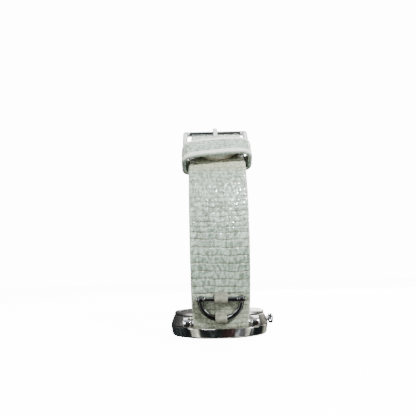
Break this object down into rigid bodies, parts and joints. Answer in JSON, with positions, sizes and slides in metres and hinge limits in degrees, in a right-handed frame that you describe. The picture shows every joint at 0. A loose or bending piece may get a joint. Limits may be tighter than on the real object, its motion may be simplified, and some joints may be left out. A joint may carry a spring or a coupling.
{
  "type": "wristwatch",
  "caption": "Small round wristwatch on a white lizard-grain leather strap, buckled closed, with a D-ring ornament by the case.",
  "frame": {"origin": "middle of the crystal's outer face, on which the watch lies dial down", "axes": "+Z from the dial through the case back towards the buckle, +X towards the crown, -Y towards twelve o'clock and the half of the strap with the buckle"},
  "size_m": [0.0324, 0.0592, 0.0645],
  "materials": {
    "white_leather": "glossy lizard grain",
    "strap_lining": "smooth, matt",
    "beige_tab": "satin",
    "polished_steel": "mirror polished",
    "steel": "satin",
    "brass": "satin",
    "copper_wire": "lacquered copper wire",
    "crystal_glass": "clear",
    "pearl_dial": "pearl lacquer",
    "gasket_rubber": "matt",
    "gasket_plastic": "matt",
    "holder_plastic": "matt",
    "circuit_board": "lacquered board"
  },
  "bodies": {
    "case": {"case_middle": "polished_steel", "bezel": "polished_steel", "crystal": "crystal_glass", "crystal_gasket": "gasket_plastic", "case_back": "polished_steel", "case_back_gasket": "gasket_rubber", "dial": "pearl_dial", "hour_marker_01": "polished_steel", "hour_marker_02": "polished_steel", "hour_marker_03": "polished_steel", "hour_marker_04": "polished_steel", "hour_marker_05": "polished_steel", "hour_marker_06": "polished_steel", "hour_marker_07": "polished_steel", "hour_marker_08": "polished_steel", "hour_marker_09": "polished_steel", "hour_marker_10": "polished_steel", "hour_marker_11": "polished_steel", "hour_marker_12": "polished_steel", "main_plate": "brass", "movement_holder": "holder_plastic", "battery": "steel", "drive_coil": "copper_wire", "train_bridge": "steel", "circuit_board": "circuit_board", "crown_tube": "steel", "lug_spring_bar_12": "steel", "lug_spring_bar_6": "steel"},
    "minute_hand": {"minute_hand": "polished_steel", "cannon_pinion": "brass"},
    "hour_hand": {"hour_hand": "polished_steel", "hour_wheel": "brass"},
    "minute_wheel": {"minute_wheel": "brass"},
    "setting_lever": {"setting_lever": "steel"},
    "crown": {"crown": "polished_steel", "winding_stem": "steel"},
    "buckle_strap": {"buckle_strap_leather": "white_leather", "buckle_strap_lining": "strap_lining", "buckle_spring_bar": "steel", "d_ring_bar": "polished_steel", "d_ring_bow": "polished_steel", "d_ring_top_tab": "beige_tab", "d_ring_bottom_tab": "beige_tab"},
    "buckle": {"buckle_frame": "polished_steel"},
    "tongue": {"buckle_tongue": "polished_steel"},
    "free_keeper": {"free_keeper": "white_leather"},
    "hole_strap": {"hole_strap_leather": "white_leather", "hole_strap_lining": "strap_lining"}
  },
  "joints": [
    {"name": "minute_hand_turn", "type": "hinge", "parent": "case", "child": "minute_hand", "pos_m": [0, 0, 0.00165], "axis": [0, 0, 1], "continuous": true},
    {"name": "hour_hand_turn", "type": "hinge", "parent": "case", "child": "hour_hand", "pos_m": [0, 0, 0.002], "axis": [0, 0, 1], "continuous": true},
    {"name": "minute_wheel_turn", "type": "hinge", "parent": "case", "child": "minute_wheel", "pos_m": [0, 0.005, 0.00325], "axis": [0, 0, 1], "continuous": true},
    {"name": "crown_pull", "type": "slide", "parent": "case", "child": "setting_lever", "axis": [1, 0, 0], "range_m": [0, 0.001]},
    {"name": "crown_turn", "type": "hinge", "parent": "setting_lever", "child": "crown", "pos_m": [0.0156, 0, 0.0045], "axis": [1, 0, 0], "continuous": true},
    {"name": "buckle_strap_hinge", "type": "hinge", "parent": "case", "child": "buckle_strap", "pos_m": [0, -0.01819, 0.00523], "axis": [1, 0, 0], "range_deg": [0, 60]},
    {"name": "hole_strap_hinge", "type": "hinge", "parent": "case", "child": "hole_strap", "pos_m": [0, 0.01819, 0.00523], "axis": [-1, 0, 0], "range_deg": [0, 60], "deforming": ["hole_strap_leather", "hole_strap_lining"]},
    {"name": "buckle_hinge", "type": "hinge", "parent": "buckle_strap", "child": "buckle", "pos_m": [0, -0.01857, 0.05436], "axis": [1, 0, 0], "range_deg": [0, 35]},
    {"name": "tongue_hinge", "type": "hinge", "parent": "buckle", "child": "tongue", "pos_m": [0, -0.01857, 0.05436], "axis": [1, 0, 0], "range_deg": [0, 50]},
    {"name": "free_keeper_slide", "type": "hinge", "parent": "buckle_strap", "child": "free_keeper", "pos_m": [0, 0, 0.033], "axis": [1, 0, 0], "range_deg": [0, 26]}
  ],
  "couplings": [
    {"joint": "hour_hand_turn", "follows": "minute_hand_turn", "ratio": 0.083333},
    {"joint": "minute_wheel_turn", "follows": "minute_hand_turn", "ratio": -0.33333}
  ]
}
